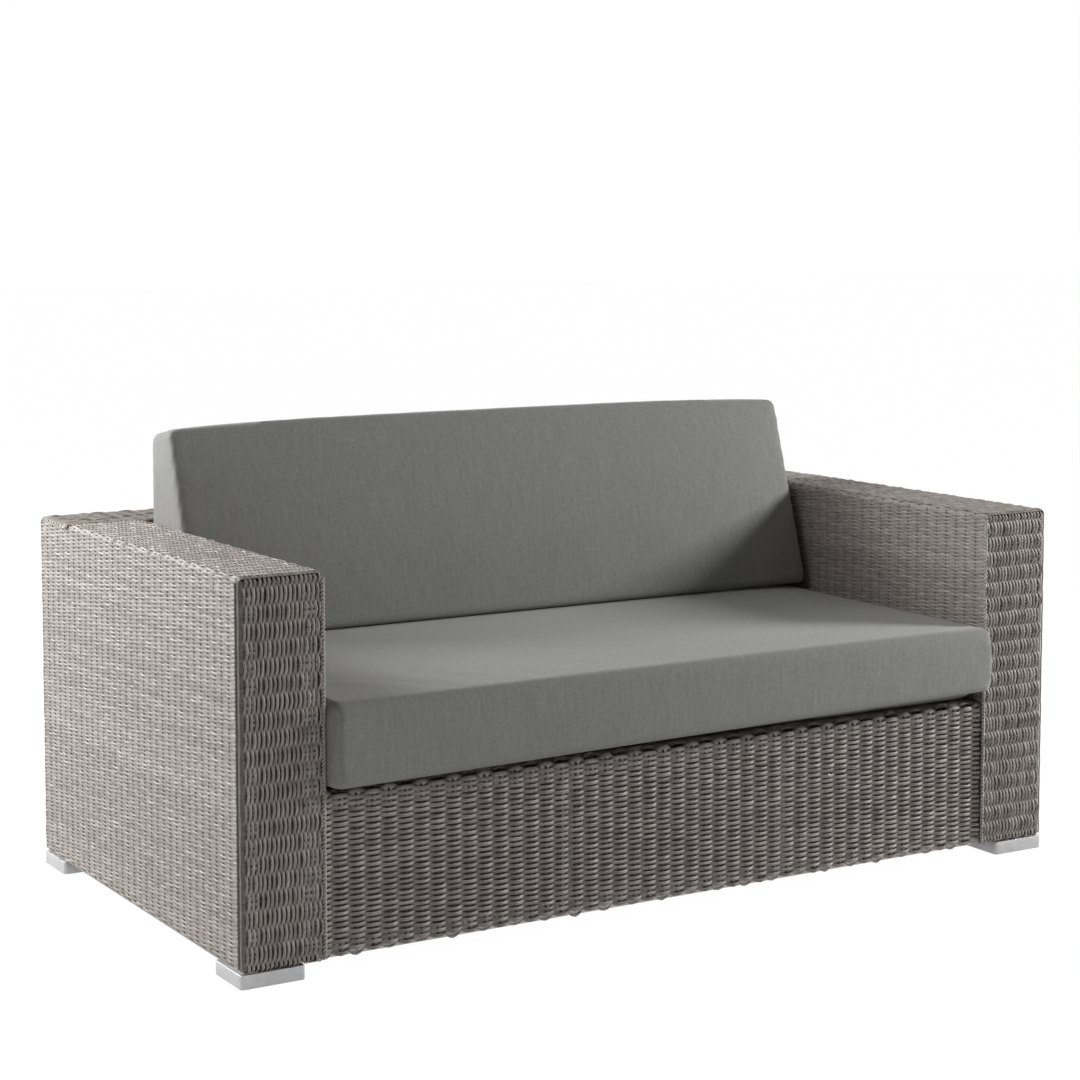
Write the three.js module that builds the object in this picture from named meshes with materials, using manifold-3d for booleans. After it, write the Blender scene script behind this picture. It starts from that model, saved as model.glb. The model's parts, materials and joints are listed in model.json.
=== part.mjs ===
// A two-seat garden sofa: a body of woven cane with block arms and back on a welded tube frame,
// four low metal feet, one seat cushion and one wedge-shaped back cushion.
// Millimetres, +Z up. The front faces -Y, and left and right are those of someone who looks at it.
// The origin is on the floor, under the middle of the whole outline.
import * as THREE from 'three';
import { mergeVertices } from 'three/addons/utils/BufferGeometryUtils.js';
import { RoundedBoxGeometry } from 'three/addons/geometries/RoundedBoxGeometry.js';
import Module from 'manifold-3d';

const wasm = await Module();
wasm.setup();

// Driving sizes of the woven body.
const sofaWidth = 1640;
const bodyDepth = 872;
const armHeight = 644;
const armThickness = 147;
const backThickness = 150;
const seatDeckHeight = 292;
const apronRecess = 9;

// The weave is one skin of cane over stakes, rolled round the edges of the frame.
const weaveThickness = 8;
const edgeRadius = 11;
const edgeSteps = 3;

// The cane stands out over each stake and lies lower between two stakes. The sides and the back have
// upright stakes, the apron too, further apart, and the arm fronts have level ones.
const bodyStakeGap = 27.7;
const armFrontStakeGap = 26.7;
const apronStakeGap = 29.5;
const weaveRelief = 1.6;
const ribCrownShare = 0.14;
const ribFlankShare = 0.2;

// Square aluminium tube, and the flat bars that join two tubes into a ladder.
const tubeSize = 25;
const tubeWall = 1.5;
const rungWidth = 25;
const rungThickness = 5;
const sideRungs = 5;
const backRungs = 7;
const weldDepth = 0.75;
const backPostShares = [-0.45, 0.45];
const crossRailShares = [-0.5, 0, 0.5];
const strutShares = [-0.33, 0.33];

// Feet, their plastic glides and their screws.
const footWidth = 110;
const footDepth = 100;
const footHeight = 25;
const footInset = 2;
const footCorner = 6;
const glideThickness = 2;
const glideMargin = 8;
const screwRadius = 4;
const screwHeadRadius = 6.5;
const screwHeadHeight = 8;
const screwReach = 8;
const screwClearance = 0.3;
const counterboreRadius = 8;
const roundSteps = 20;
const cornerSteps = 4;

// Seat cushion: it stands proud of the arms in front, and its top is highest at the middle and rear.
const seatCushionThickness = 152.5;
const seatCushionProud = 28;
const seatRoll = 24;
const seatCornerRoll = 8;
const seatEndGap = 2;
const seatSpans = [16, 8, 2];
const seatCrown = 9;
const seatDraw = 4;
const seatBulge = 5;

// Back cushion: thick at its foot, thin at its head, with a swelling front.
const backCushionHeight = 377;
const backFootThickness = 200;
const backHeadThickness = 88;
const backRoll = 13;
const backBulge = 22;
const backCrown = 10;
const backHeadFall = 16;
const backDraw = 2;
const backHeadDraw = 4;
const backEndGap = 6;
const backSpans = [16, 2, 8];

// Clearances.
const seamGap = 0.3;
const cushionRearGap = 2;
const cushionRestGap = 0.5;
const cutOverrun = 40;
const weldTolerance = 0.001;

// Places worked out from the sizes above.
const halfWidth = sofaWidth / 2;
const innerFace = halfWidth - armThickness;
const outlineDepth = bodyDepth + seatCushionProud;
const bodyRear = outlineDepth / 2;
const bodyFront = bodyRear - bodyDepth;
const backFace = bodyRear - backThickness;
const apronFace = bodyFront + apronRecess;
const bodyBottom = footHeight + seamGap;
const sideSeam = halfWidth - edgeRadius;
const topSeam = armHeight - edgeRadius;
const halfSeam = seamGap / 2;
const skinRoom = weaveThickness + seamGap;
const frameTop = armHeight - skinRoom;
const frameFront = bodyFront + skinRoom;
const frameRear = bodyRear - skinRoom;
const frameOuter = halfWidth - skinRoom;
const frameInner = innerFace + skinRoom;
const frameSpan = frameInner - seamGap;
const backRailFront = backFace + skinRoom;
const seatRailFront = apronFace + skinRoom;
const seatRailRear = seatRailFront + tubeSize;
const seatRailTop = seatDeckHeight - skinRoom;
const seatRailBottom = seatRailTop - tubeSize;
const postBottom = bodyBottom + tubeSize + seamGap;
const postTop = frameTop - tubeSize - seamGap;
const frontFootY = bodyFront + footInset + footDepth / 2;
const rearFootY = bodyRear - footInset - footDepth / 2;
const footX = halfWidth - footInset - footWidth / 2;
const footBottom = glideThickness + seamGap;
const sides = [{ name: 'left', sign: -1 }, { name: 'right', sign: 1 }];
const alongX = new THREE.Vector3(1, 0, 0);
const alongY = new THREE.Vector3(0, 1, 0);
const alongZ = new THREE.Vector3(0, 0, 1);
const frontward = new THREE.Vector3(0, -1, 0);

const materials = {
  cane: { color: 0xa79e96, roughness: 0.6, metalness: 0 },
  tube: { color: 0x7d7b78, roughness: 0.45, metalness: 0.6 },
  foot: { color: 0xc9c9c8, roughness: 0.35, metalness: 0.9 },
  plastic: { color: 0x2a2a2a, roughness: 0.7, metalness: 0 },
  steel: { color: 0xb4b4b2, roughness: 0.35, metalness: 1 },
  fabric: { color: 0x7f807d, roughness: 0.95, metalness: 0 },
};

const sofa = new THREE.Group();

function addPiece(name, geometry, finish) {
  const mesh = new THREE.Mesh(geometry, new THREE.MeshStandardMaterial(materials[finish]));
  mesh.name = name;
  sofa.add(mesh);
}

// Geometry to solid and back.
function solidOf(geometry) {
  const bare = geometry.clone();
  bare.deleteAttribute('normal');
  bare.deleteAttribute('uv');
  const merged = mergeVertices(bare, weldTolerance);
  const vertProperties = new Float32Array(merged.attributes.position.array);
  const triVerts = new Uint32Array(merged.index.array);
  return new wasm.Manifold(new wasm.Mesh({ numProp: 3, vertProperties, triVerts }));
}

function geometryOf(solid) {
  const mesh = solid.getMesh();
  const geometry = new THREE.BufferGeometry();
  geometry.setAttribute('position', new THREE.BufferAttribute(new Float32Array(mesh.vertProperties), 3));
  geometry.setIndex(new THREE.BufferAttribute(new Uint32Array(mesh.triVerts), 1));
  geometry.computeVertexNormals();
  return geometry;
}

// A block between two opposite corners, square-edged or with rolled edges.
function placed(low, high, makeGeometry) {
  const size = high.map((value, axis) => value - low[axis]);
  const middle = high.map((value, axis) => (value + low[axis]) / 2);
  return solidOf(makeGeometry(...size).translate(...middle));
}

function block(low, high) {
  return placed(low, high, (x, y, z) => new THREE.BoxGeometry(x, y, z));
}

function rolledBlock(low, high) {
  return placed(low, high, (x, y, z) => new RoundedBoxGeometry(x, y, z, edgeSteps, edgeRadius));
}

// The same span of X on the left or the right half of the sofa.
function span(sign, near, far) {
  return sign < 0 ? [-far, -near] : [near, far];
}

// Skin of the arms and back: three rolled blocks, hollow and open below.
function bodySkin() {
  let outside = rolledBlock([-halfWidth, backFace, -cutOverrun], [halfWidth, bodyRear, armHeight]);
  let room = block(
    [-halfWidth + weaveThickness, backFace + weaveThickness, -2 * cutOverrun],
    [halfWidth - weaveThickness, bodyRear - weaveThickness, armHeight - weaveThickness],
  );
  for (const { sign } of sides) {
    const [outerLow, outerHigh] = span(sign, innerFace, halfWidth);
    const [roomLow, roomHigh] = span(sign, innerFace + weaveThickness, halfWidth - weaveThickness);
    outside = outside.add(rolledBlock([outerLow, bodyFront, -cutOverrun], [outerHigh, bodyRear, armHeight]));
    room = room.add(block(
      [roomLow, bodyFront + weaveThickness, -2 * cutOverrun],
      [roomHigh, bodyRear - weaveThickness, armHeight - weaveThickness],
    ));
  }
  return outside.subtract(room);
}

// Skin of the seat: the apron in front rolls over into the deck.
function seatSkin() {
  const reach = innerFace + cutOverrun + edgeRadius;
  const outside = rolledBlock([-reach, apronFace, -cutOverrun], [reach, backFace + cutOverrun, seatDeckHeight]);
  const room = block(
    [-reach - cutOverrun, apronFace + weaveThickness, -2 * cutOverrun],
    [reach + cutOverrun, backFace + 2 * cutOverrun, seatDeckHeight - weaveThickness],
  );
  return outside.subtract(room);
}

// Cuts the valleys between the stakes of one woven face. It starts at a point on the face and goes
// along the run, with the ribs square to the run and to the outward direction.
function ribbed(panel, { start, run, outward, length, gap }) {
  const count = Math.round(length / gap);
  const pitch = length / count;
  const crown = pitch * ribCrownShare;
  const foot = crown + pitch * ribFlankShare;
  const outline = new THREE.Shape([
    [crown, 0], [foot, -weaveRelief], [pitch - foot, -weaveRelief], [pitch - crown, 0],
    [pitch - crown, cutOverrun], [crown, cutOverrun],
  ].map(([along, out]) => new THREE.Vector2(along, out)));
  const stake = run.clone().cross(outward);
  let cut = panel;
  for (let k = 0; k < count; k += 1) {
    const turn = new THREE.Matrix4().makeBasis(run, outward, stake)
      .setPosition(start.clone().addScaledVector(run, k * pitch));
    const valley = new THREE.ExtrudeGeometry(outline, { depth: 2 * sofaWidth, bevelEnabled: false })
      .translate(0, 0, -sofaWidth).applyMatrix4(turn);
    cut = cut.subtract(solidOf(valley));
  }
  return cut;
}

function addPanel(name, skin, low, high, ribs) {
  const panel = skin.intersect(block(low, high));
  addPiece(name, geometryOf(ribs ? ribbed(panel, ribs) : panel), 'cane');
}

// Woven panels of one arm and side. The outer one runs the whole depth and rolls round both corners.
function addSideWeave(skin, side) {
  const { name, sign } = side;
  const [outerLow, outerHigh] = span(sign, sideSeam + halfSeam, halfWidth + cutOverrun);
  addPanel(`${name}_side_weave`, skin,
    [outerLow, bodyFront - cutOverrun, bodyBottom], [outerHigh, bodyRear + cutOverrun, topSeam - halfSeam],
    {
      start: new THREE.Vector3(sign * halfWidth, bodyFront + edgeRadius, 0),
      run: alongY,
      outward: alongX.clone().multiplyScalar(sign),
      length: bodyDepth - 2 * edgeRadius,
      gap: bodyStakeGap,
    });

  const [frontLow, frontHigh] = span(sign, innerFace - cutOverrun, sideSeam - halfSeam);
  addPanel(`${name}_arm_front_weave`, skin,
    [frontLow, bodyFront - cutOverrun, bodyBottom],
    [frontHigh, bodyFront + edgeRadius - halfSeam, topSeam - halfSeam],
    {
      start: new THREE.Vector3(0, bodyFront, bodyBottom),
      run: alongZ,
      outward: frontward,
      length: topSeam - bodyBottom,
      gap: armFrontStakeGap,
    });

  const [innerLow, innerHigh] = span(sign, innerFace - cutOverrun, innerFace + weaveThickness);
  addPanel(`${name}_arm_inner_weave`, skin,
    [innerLow, bodyFront + edgeRadius + halfSeam, seatDeckHeight - weaveThickness],
    [innerHigh, backFace - seamGap, topSeam - halfSeam]);

  const [topLow, topHigh] = span(sign, innerFace - cutOverrun, halfWidth + cutOverrun);
  addPanel(`${name}_arm_top_weave`, skin,
    [topLow, bodyFront - cutOverrun, topSeam + halfSeam],
    [topHigh, backFace - halfSeam, armHeight + cutOverrun]);
}

function addBackWeave(skin) {
  const reach = halfWidth + cutOverrun;
  addPanel('back_top_weave', skin,
    [-reach, backFace + halfSeam, topSeam + halfSeam], [reach, bodyRear + cutOverrun, armHeight + cutOverrun]);
  addPanel('back_rear_weave', skin,
    [-sideSeam + halfSeam, bodyRear - edgeRadius, bodyBottom],
    [sideSeam - halfSeam, bodyRear + cutOverrun, topSeam - halfSeam],
    {
      start: new THREE.Vector3(-sideSeam, bodyRear, 0),
      run: alongX,
      outward: alongY,
      length: 2 * sideSeam,
      gap: bodyStakeGap,
    });
  addPanel('back_inner_weave', skin,
    [-innerFace + seamGap, backFace - cutOverrun, seatDeckHeight - weaveThickness],
    [innerFace - seamGap, backFace + weaveThickness + halfSeam, topSeam - halfSeam]);
}

function addSeatWeave(skin) {
  const reach = innerFace - seamGap;
  addPanel('seat_front_weave', skin,
    [-reach, apronFace - cutOverrun, bodyBottom],
    [reach, apronFace + edgeRadius - halfSeam, seatDeckHeight + cutOverrun],
    {
      start: new THREE.Vector3(-innerFace, apronFace, 0),
      run: alongX,
      outward: frontward,
      length: 2 * innerFace,
      gap: apronStakeGap,
    });
  addPanel('seat_deck_weave', skin,
    [-reach, apronFace + edgeRadius + halfSeam, seatRailTop],
    [reach, backFace - seamGap, seatDeckHeight + cutOverrun]);
}

// A square tube that fills the block between two corners and is open at both ends of one axis.
function tube(low, high, axis) {
  const boreLow = low.map((value, k) => (k === axis ? value - cutOverrun : value + tubeWall));
  const boreHigh = high.map((value, k) => (k === axis ? value + cutOverrun : value - tubeWall));
  return block(low, high).subtract(block(boreLow, boreHigh));
}

function addTube(name, low, high, axis) {
  addPiece(name, geometryOf(tube(low, high, axis)), 'tube');
}

// Evenly spaced places from the first to the last.
function evenly(first, last, count) {
  return Array.from({ length: count }, (_, k) => first + (last - first) * k / (count - 1));
}

function standingScrewHole(x, y, radius, bottom, top) {
  const geometry = new THREE.CylinderGeometry(radius, radius, top - bottom, roundSteps);
  return solidOf(geometry.rotateX(Math.PI / 2).translate(x, y, (bottom + top) / 2));
}

// A side's lower or upper ladder: two rails that run front to rear, and flat rungs at the tubes' outer face.
function sideLadder(sign, bottom, rungBottom) {
  const top = bottom + tubeSize;
  const [outerLow, outerHigh] = span(sign, frameOuter - tubeSize, frameOuter);
  const [innerLow, innerHigh] = span(sign, frameInner, frameInner + tubeSize);
  const [rungLow, rungHigh] = span(sign, frameInner + tubeSize - weldDepth, frameOuter - tubeSize + weldDepth);
  let ladder = tube([outerLow, frameFront, bottom], [outerHigh, frameRear, top], 1)
    .add(tube([innerLow, frameFront, bottom], [innerHigh, frameRear, top], 1));
  for (const y of evenly(frontFootY, rearFootY, sideRungs)) {
    ladder = ladder.add(block(
      [rungLow, y - rungWidth / 2, rungBottom], [rungHigh, y + rungWidth / 2, rungBottom + rungThickness]));
  }
  return ladder;
}

function addSideFrame({ name, sign }) {
  let lower = sideLadder(sign, bodyBottom, bodyBottom);
  for (const y of [frontFootY, rearFootY]) {
    const radius = screwRadius + screwClearance;
    lower = lower.subtract(standingScrewHole(sign * footX, y, radius, -cutOverrun, bodyBottom + cutOverrun));
  }
  addPiece(`${name}_lower_ladder`, geometryOf(lower), 'tube');
  const upper = sideLadder(sign, frameTop - tubeSize, frameTop - rungThickness);
  addPiece(`${name}_upper_ladder`, geometryOf(upper), 'tube');

  const rows = { front: frameFront, middle: backRailFront, rear: frameRear - tubeSize };
  const columns = { outer: frameOuter - tubeSize, inner: frameInner };
  for (const [row, y] of Object.entries(rows)) {
    for (const [column, near] of Object.entries(columns)) {
      const [low, high] = span(sign, near, near + tubeSize);
      addTube(`${name}_${row}_${column}_post`, [low, y, postBottom], [high, y + tubeSize, postTop], 2);
    }
  }
}

// The back's ladders run between the two sides, with their rungs front to rear.
function backLadder(bottom, rungBottom) {
  const top = bottom + tubeSize;
  const rungFront = backRailFront + tubeSize - weldDepth;
  const rungRear = frameRear - tubeSize + weldDepth;
  let ladder = tube([-frameSpan, backRailFront, bottom], [frameSpan, backRailFront + tubeSize, top], 0)
    .add(tube([-frameSpan, frameRear - tubeSize, bottom], [frameSpan, frameRear, top], 0));
  const lastRung = frameSpan - rungWidth;
  for (const x of evenly(-lastRung, lastRung, backRungs)) {
    ladder = ladder.add(block(
      [x - rungWidth / 2, rungFront, rungBottom], [x + rungWidth / 2, rungRear, rungBottom + rungThickness]));
  }
  return ladder;
}

function addBackFrame() {
  addPiece('back_lower_ladder', geometryOf(backLadder(bodyBottom, bodyBottom)), 'tube');
  addPiece('back_upper_ladder', geometryOf(backLadder(frameTop - tubeSize, frameTop - rungThickness)), 'tube');
  sides.forEach(({ name }, k) => {
    const low = backPostShares[k] * innerFace - tubeSize / 2;
    addTube(`back_${name}_rear_post`,
      [low, frameRear - tubeSize, postBottom], [low + tubeSize, frameRear, postTop], 2);
    addTube(`back_${name}_front_post`,
      [low, backRailFront, seatRailTop + seamGap], [low + tubeSize, backRailFront + tubeSize, postTop], 2);
  });
}

// Seat frame: rails under the deck, and a lower rail with struts behind the apron.
function addSeatFrame() {
  addTube('seat_front_rail',
    [-frameSpan, seatRailFront, seatRailBottom], [frameSpan, seatRailRear, seatRailTop], 0);
  addTube('seat_rear_rail',
    [-frameSpan, backRailFront, seatRailBottom], [frameSpan, backRailFront + tubeSize, seatRailTop], 0);
  addTube('seat_lower_front_rail',
    [-frameSpan, seatRailFront, bodyBottom], [frameSpan, seatRailRear, bodyBottom + tubeSize], 0);
  sides.forEach(({ name, sign }, k) => {
    const low = strutShares[k] * innerFace - tubeSize / 2;
    addTube(`seat_${name}_strut`,
      [low, seatRailFront, postBottom], [low + tubeSize, seatRailRear, seatRailBottom - seamGap], 2);
    const [railLow, railHigh] = span(sign, frameInner, frameInner + tubeSize);
    addTube(`seat_${name}_rail`,
      [railLow, frameFront + tubeSize + seamGap, seatRailBottom],
      [railHigh, backRailFront - seamGap, seatRailTop], 1);
  });
  crossRailShares.forEach((share, k) => {
    const low = share * innerFace - tubeSize / 2;
    addTube(`seat_cross_rail_${k + 1}`,
      [low, seatRailRear + seamGap, seatRailBottom], [low + tubeSize, backRailFront - seamGap, seatRailTop], 1);
  });
}

// A flat plate with round corners, lying from bottom to top about a centre.
function plate(x, y, width, depth, bottom, top) {
  const right = width / 2;
  const rear = depth / 2;
  const outline = new THREE.Shape();
  outline.absarc(right - footCorner, rear - footCorner, footCorner, 0, Math.PI / 2);
  outline.absarc(footCorner - right, rear - footCorner, footCorner, Math.PI / 2, Math.PI);
  outline.absarc(footCorner - right, footCorner - rear, footCorner, Math.PI, 1.5 * Math.PI);
  outline.absarc(right - footCorner, footCorner - rear, footCorner, 1.5 * Math.PI, 2 * Math.PI);
  const options = { depth: top - bottom, bevelEnabled: false, curveSegments: cornerSteps };
  return new THREE.ExtrudeGeometry(outline, options).translate(x, y, bottom);
}

// A foot hangs under the end of a side's lower ladder, by one screw whose head sits in a counterbore.
function addFoot(name, x, y) {
  const headTop = footBottom + screwHeadHeight + screwClearance;
  const foot = solidOf(plate(x, y, footWidth, footDepth, footBottom, footHeight))
    .subtract(standingScrewHole(x, y, screwRadius + screwClearance, -cutOverrun, footHeight + cutOverrun))
    .subtract(standingScrewHole(x, y, counterboreRadius, -cutOverrun, headTop));
  addPiece(`foot_${name}`, geometryOf(foot), 'foot');

  const glide = plate(x, y, footWidth - 2 * glideMargin, footDepth - 2 * glideMargin, 0, glideThickness);
  addPiece(`foot_glide_${name}`, geometryOf(solidOf(glide)), 'plastic');

  const screwTop = bodyBottom + rungThickness + screwReach;
  const profile = [
    [0, footBottom], [screwHeadRadius, footBottom], [screwHeadRadius, footBottom + screwHeadHeight],
    [screwRadius, footBottom + screwHeadHeight], [screwRadius, screwTop], [0, screwTop],
  ].map(([radius, height]) => new THREE.Vector2(radius, height));
  const screw = new THREE.LatheGeometry(profile, roundSteps).rotateX(Math.PI / 2).translate(x, y, 0);
  addPiece(`foot_screw_${name}`, geometryOf(solidOf(screw)), 'steel');
}

// Places along one side of a cushion: crowded at the rolled edges, even between them.
function stations(length, roll, spans) {
  const half = length / 2;
  const flat = half - roll;
  const turn = roll * Math.tan(Math.PI / 8);
  return [-half, -flat - turn, ...evenly(-flat, flat, spans + 1), flat + turn, half];
}

// A cushion starts as a block with rolled edges about its own middle, and its form moves each point.
// The form gets the point and its shares of the half width, half depth and half height.
function cushion(size, roll, spans, form) {
  const lines = size.map((length, axis) => stations(length, roll[axis], spans[axis]));
  const steps = lines.map((line) => line.length - 1);
  const geometry = new THREE.BoxGeometry(1, 1, 1, ...steps);
  const places = geometry.attributes.position;
  for (let k = 0; k < places.count; k += 1) {
    const unit = [places.getX(k), places.getY(k), places.getZ(k)];
    const raw = unit.map((value, axis) => lines[axis][Math.round((value + 0.5) * steps[axis])]);
    const core = raw.map((value, axis) => {
      const flat = size[axis] / 2 - roll[axis];
      return Math.min(flat, Math.max(-flat, value));
    });
    const away = new THREE.Vector3(...raw.map((value, axis) => (value - core[axis]) / roll[axis])).normalize();
    const point = core.map((value, axis) => value + roll[axis] * away.getComponent(axis));
    const shares = point.map((value, axis) => value / (size[axis] / 2));
    places.setXYZ(k, ...form(point, shares));
  }
  return geometry;
}

// The seat cushion's top falls towards its ends and front edge, its ends and front are drawn in
// between the corners, and its front swells at mid height. It lies flat on the deck.
function addSeatCushion() {
  const width = 2 * (innerFace - seatEndGap);
  const depth = backFace - cushionRearGap - (bodyFront - seatCushionProud);
  const form = ([x, y, z], [u, v, w]) => {
    const frontShare = Math.max(0, -v);
    const fall = seatCrown * (1 - (1 - u ** 6) * (1 - frontShare ** 4));
    const middleShare = 1 - w * w;
    return [
      x - u * seatDraw * (1 - v * v),
      y + frontShare * (seatDraw * (1 - u * u) + seatBulge * (1 - middleShare)),
      z - fall * (w + 1) / 2,
    ];
  };
  const roll = [seatCornerRoll, seatCornerRoll, seatRoll];
  const geometry = cushion([width, depth, seatCushionThickness], roll, seatSpans, form);
  const middleY = backFace - cushionRearGap - depth / 2;
  const middleZ = seatDeckHeight + cushionRestGap + seatCushionThickness / 2;
  addPiece('seat_cushion', geometryOf(solidOf(geometry.translate(0, middleY, middleZ))), 'fabric');
}

// The back cushion stands on the seat cushion against the back. Its front leans back and swells,
// its head slopes down to the rear, and its ends are lower and drawn in, at the head most of all.
function addBackCushion() {
  const width = 2 * (innerFace - backEndGap);
  const rear = backFootThickness / 2;
  const headShare = backHeadThickness / backFootThickness;
  const form = ([x, y, z], [u, v, w]) => {
    const riseShare = (w + 1) / 2;
    const frontShare = (1 - v) / 2;
    const waistShare = 4 * riseShare * (1 - riseShare);
    const thinning = 1 - (1 - headShare) * riseShare;
    const swell = backBulge * waistShare * frontShare * (1 - u ** 6);
    return [
      x - u * (backDraw * waistShare + backHeadDraw * riseShare ** 2),
      rear - (rear - y) * thinning - swell,
      z - riseShare * (backHeadFall * (1 - frontShare) + backCrown * u ** 4),
    ];
  };
  const size = [width, backFootThickness, backCushionHeight];
  const geometry = cushion(size, [backRoll, backRoll, backRoll], backSpans, form);
  const middleY = backFace - cushionRearGap - rear;
  const foot = seatDeckHeight + seatCushionThickness + 2 * cushionRestGap;
  addPiece('back_cushion',
    geometryOf(solidOf(geometry.translate(0, middleY, foot + backCushionHeight / 2))), 'fabric');
}

const skin = bodySkin();
for (const side of sides) {
  addSideWeave(skin, side);
  addSideFrame(side);
  addFoot(`front_${side.name}`, side.sign * footX, frontFootY);
  addFoot(`rear_${side.name}`, side.sign * footX, rearFootY);
}
addBackWeave(skin);
addBackFrame();
addSeatWeave(seatSkin());
addSeatFrame();
addSeatCushion();
addBackCushion();

export default sofa;
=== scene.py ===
import json
import math

import bpy
import numpy as np
from mathutils import Matrix, Vector


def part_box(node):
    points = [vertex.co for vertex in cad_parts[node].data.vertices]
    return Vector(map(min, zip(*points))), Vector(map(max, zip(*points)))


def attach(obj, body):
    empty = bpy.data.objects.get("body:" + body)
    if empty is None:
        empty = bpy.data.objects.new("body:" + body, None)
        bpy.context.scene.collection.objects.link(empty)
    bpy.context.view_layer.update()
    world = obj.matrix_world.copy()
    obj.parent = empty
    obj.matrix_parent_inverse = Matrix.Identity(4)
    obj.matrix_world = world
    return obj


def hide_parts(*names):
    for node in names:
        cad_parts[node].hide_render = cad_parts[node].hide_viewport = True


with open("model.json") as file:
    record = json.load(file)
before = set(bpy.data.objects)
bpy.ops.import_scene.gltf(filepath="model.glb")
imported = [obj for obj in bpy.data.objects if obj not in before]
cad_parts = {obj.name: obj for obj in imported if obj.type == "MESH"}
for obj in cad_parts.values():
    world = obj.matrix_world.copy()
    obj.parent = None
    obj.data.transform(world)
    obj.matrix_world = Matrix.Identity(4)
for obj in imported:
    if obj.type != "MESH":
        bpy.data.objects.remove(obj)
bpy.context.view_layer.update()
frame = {"nodes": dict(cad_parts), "record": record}
scene = bpy.context.scene
nodes = frame["nodes"]

# The camera stands to the left of the front, a little above the cushions, and looks slightly down.
# The photograph was cropped below its optical axis, which the vertical shift repeats.
camera_place = (-2.3216, -3.7826, 1.1979)
camera_turn = math.radians(31.24)
camera_dip = math.radians(4.715)
photo_pixels = 1080
focal_pixels = 2439.7
axis_row = 410
film_width = 36.0
bpy.ops.object.camera_add(
    location=camera_place, rotation=(math.pi / 2 - camera_dip, 0, -camera_turn))
camera = bpy.context.object
camera.name = "camera"
camera.data.sensor_width = film_width
camera.data.lens = focal_pixels / photo_pixels * film_width
camera.data.shift_y = (axis_row - photo_pixels / 2) / photo_pixels
camera.data.clip_end = 50.0
scene.camera = camera

# Soft studio light: the strongest soft box stands behind on the left, a small one on the right, and
# fainter ones on the left, in front and overhead. An even white surround fills the rest, and it is
# plain white where the camera or a reflection sees it.
scene.view_settings.view_transform = "Standard"
seat_middle = Vector((0, 0, 0.4))
apron_middle = Vector((0, 0, 0.3))
surround_strength = 0.105


def soft_box(name, place, target, size, power):
    bpy.ops.object.light_add(type="AREA", location=place)
    lamp = bpy.context.object
    lamp.name = name
    lamp.data.shape = "SQUARE"
    lamp.data.size = size
    lamp.data.energy = power
    lamp.rotation_euler = (target - Vector(place)).to_track_quat("-Z", "Y").to_euler()


soft_box("left_soft_box", place=(-3.5, 0.3, 1.9), target=seat_middle, size=1.6, power=36)
soft_box("rear_left_soft_box", place=(-2.1, 2.1, 1.95), target=seat_middle, size=1.5, power=130)
soft_box("right_soft_box", place=(2.9, -1.44, 1.69), target=seat_middle, size=0.7, power=94)
soft_box("front_soft_box", place=(1.2, -4.6, 1.6), target=apron_middle, size=1.6, power=5)
soft_box("top_soft_box", place=(0.3, -0.3, 4.2), target=apron_middle, size=3.0, power=6)


def math_of(tree, links, operation, *terms):
    """A Math node's result. Each of its terms is a socket or a plain number."""
    node = tree.new("ShaderNodeMath")
    node.operation = operation
    for term, socket in zip(terms, node.inputs):
        if isinstance(term, bpy.types.NodeSocket):
            links.new(term, socket)
        else:
            socket.default_value = term
    return node.outputs[0]


def either_of(tree, links, share, first, second):
    """Goes from the first shader to the second as the share goes from 0 to 1."""
    either = tree.new("ShaderNodeMixShader")
    links.new(share, either.inputs[0])
    links.new(first.outputs[0], either.inputs[1])
    links.new(second.outputs[0], either.inputs[2])
    return either.outputs[0]


world = bpy.data.worlds.new("studio_surround")
scene.world = world
world.use_nodes = True
links = world.node_tree.links
tree = world.node_tree.nodes
tree.clear()
rays = tree.new("ShaderNodeLightPath").outputs
seen = math_of(tree, links, "MAXIMUM", rays["Is Camera Ray"], rays["Is Glossy Ray"])
seen_or_through = math_of(tree, links, "MAXIMUM", seen, rays["Is Transmission Ray"])
plain = tree.new("ShaderNodeBackground")
plain.inputs["Color"].default_value = (1, 1, 1, 1)
plain.inputs["Strength"].default_value = 1.0
fill = tree.new("ShaderNodeBackground")
fill.inputs["Color"].default_value = (1, 1, 1, 1)
fill.inputs["Strength"].default_value = surround_strength
out = tree.new("ShaderNodeOutputWorld")
links.new(either_of(tree, links, seen_or_through, fill, plain), out.inputs["Surface"])

# The floor is pale and matt. Where the camera or a reflection sees it, it glows white and keeps only
# a faint shadow, but not under the sofa, where it is only as bright as the light that gets there.
floor_size = 60.0
floor_grey = 0.86
glow_share = 0.95
glow_strength = 1.04
under_half_width = 0.785
under_middle_x = 0.01
under_half_depth = 0.38
under_middle_y = 0.055
bpy.ops.mesh.primitive_plane_add(size=floor_size, location=(0, 0, 0))
floor = bpy.context.object
floor.name = "floor"
floor_finish = bpy.data.materials.new("pale_floor")
floor_finish.use_nodes = True
links = floor_finish.node_tree.links
tree = floor_finish.node_tree.nodes
tree.clear()
rays = tree.new("ShaderNodeLightPath").outputs
matt = tree.new("ShaderNodeBsdfDiffuse")
matt.inputs["Color"].default_value = (floor_grey, floor_grey, floor_grey, 1)
glow = tree.new("ShaderNodeEmission")
glow.inputs["Color"].default_value = (1, 1, 1, 1)
glow.inputs["Strength"].default_value = glow_strength
seen = math_of(tree, links, "MAXIMUM", rays["Is Camera Ray"], rays["Is Glossy Ray"])
share = math_of(tree, links, "MULTIPLY", seen, glow_share)
spot = tree.new("ShaderNodeSeparateXYZ")
links.new(tree.new("ShaderNodeTexCoord").outputs["Object"], spot.inputs[0])
within_width = math_of(tree, links, "COMPARE", spot.outputs["X"], under_middle_x, under_half_width)
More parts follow.
